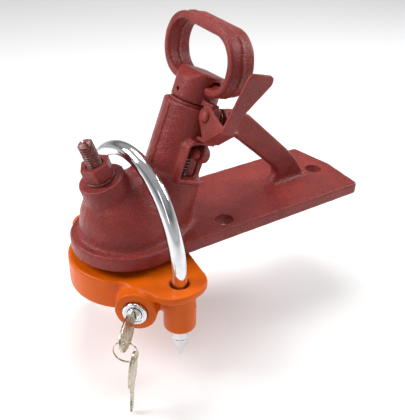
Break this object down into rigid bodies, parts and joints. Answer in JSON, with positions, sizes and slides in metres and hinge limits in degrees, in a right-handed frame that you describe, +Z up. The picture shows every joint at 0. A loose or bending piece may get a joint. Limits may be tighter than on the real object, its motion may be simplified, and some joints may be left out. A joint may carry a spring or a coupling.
{
  "type": "trailer coupler with coupler lock",
  "caption": "Flat-mount cast trailer coupler with a lift ring and trigger latch, and a shackle lock with keys fitted over its ball socket.",
  "frame": {"origin": "middle of the bolt pattern on the plate's mounting face", "axes": "+Z up out of the plate towards the lift ring, +X towards the plate's tail, -X towards the ball socket, -Y on the trigger and key side"},
  "size_m": [0.2986, 0.1808, 0.2843],
  "materials": {
    "cast_paint": "semi-gloss oxide-red paint on a cast surface",
    "screw_steel": "thin red paint worn to steel on the threads",
    "steel": "plain zinc-plated steel",
    "orange_paint": "satin orange powder coat",
    "chrome": "bright chrome",
    "nickel": "nickel-silver, slightly worn"
  },
  "bodies": {
    "coupler": {"coupler_housing": "cast_paint", "lock_washer": "steel", "ball_shoe": "steel", "keeper_pin": "cast_paint", "keeper_collar": "cast_paint"},
    "adjusting_screw": {"adjusting_screw": "screw_steel"},
    "jam_nut": {"jam_nut": "cast_paint"},
    "plunger": {"plunger": "cast_paint", "plunger_head": "cast_paint", "head_pin": "steel", "plunger_spring": "steel", "trigger_rivet": "cast_paint", "trigger_spring": "steel"},
    "pull_ring": {"pull_ring": "cast_paint"},
    "trigger": {"trigger": "cast_paint"},
    "lock": {"lock_body": "orange_paint", "ball_insert": "orange_paint", "insert_bolt": "steel", "cylinder_shell": "chrome", "shell_pin": "steel", "bolt_bore_plug": "orange_paint"},
    "shackle": {"shackle": "chrome"},
    "lock_plug": {"lock_plug": "chrome", "plug_cam": "steel"},
    "locking_bolt": {"locking_bolt": "steel"},
    "key": {"key": "nickel"},
    "key_ring": {"key_ring": "nickel"},
    "spare_key": {"spare_key": "nickel"}
  },
  "joints": [
    {"name": "plunger_lift", "type": "slide", "parent": "coupler", "child": "plunger", "axis": [0.3697, 0, 0.9291], "range_m": [0, 0.024], "stiffness_N_per_m": 900, "springref_m": -0.02, "deforming": ["plunger_spring"]},
    {"name": "ring_fold", "type": "hinge", "parent": "plunger", "child": "pull_ring", "pos_m": [-0.07168, 0, 0.13019], "axis": [0.0095, 0.9981, 0.0603], "range_deg": [-16, 50]},
    {"name": "trigger_squeeze", "type": "hinge", "parent": "plunger", "child": "trigger", "pos_m": [-0.08175, -0.033, 0.11138], "axis": [-0.9291, 0, 0.3697], "range_deg": [-5, 12], "stiffness_Nm_per_rad": 0.6},
    {"name": "adjusting_screw_turn", "type": "hinge", "parent": "coupler", "child": "adjusting_screw", "pos_m": [-0.1694, 0, 0.0675], "axis": [-0.3256, 0, 0.9455], "range_deg": [-180, 180]},
    {"name": "jam_nut_turn", "type": "hinge", "parent": "coupler", "child": "jam_nut", "pos_m": [-0.17233, 0, 0.07601], "axis": [-0.3256, 0, 0.9455], "range_deg": [-180, 180]},
    {"name": "lock_swivel", "type": "hinge", "parent": "coupler", "child": "lock", "pos_m": [-0.148, 0, -0.007], "axis": [0, 0, 1], "range_deg": [-4, 4]},
    {"name": "shackle_pull", "type": "slide", "parent": "lock", "child": "shackle", "axis": [0, 0, 1], "range_m": [0, 0.065]},
    {"name": "key_turn", "type": "hinge", "parent": "lock", "child": "lock_plug", "pos_m": [-0.17743, -0.06449, -0.0245], "axis": [-0.6884, -0.7254, 0], "range_deg": [-90, 0]},
    {"name": "bolt_throw", "type": "slide", "parent": "lock", "child": "locking_bolt", "axis": [0.7254, -0.6884, 0], "range_m": [0, 0.005]},
    {"name": "key_withdraw", "type": "slide", "parent": "lock_plug", "child": "key", "axis": [-0.6884, -0.7254, 0], "range_m": [0, 0.02]},
    {"name": "key_ring_swing", "type": "hinge", "parent": "key", "child": "key_ring", "pos_m": [-0.2018, -0.09017, -0.0245], "axis": [0.7183, -0.6817, 0.1392], "range_deg": [-25, 25]},
    {"name": "spare_key_swing", "type": "hinge", "parent": "key_ring", "child": "spare_key", "pos_m": [-0.19674, -0.09498, -0.04269], "axis": [0.7808, -0.6208, -0.0695], "range_deg": [-30, 30]}
  ],
  "couplings": [
    {"joint": "bolt_throw", "follows": "key_turn", "m_per_rad": -0.003151}
  ]
}
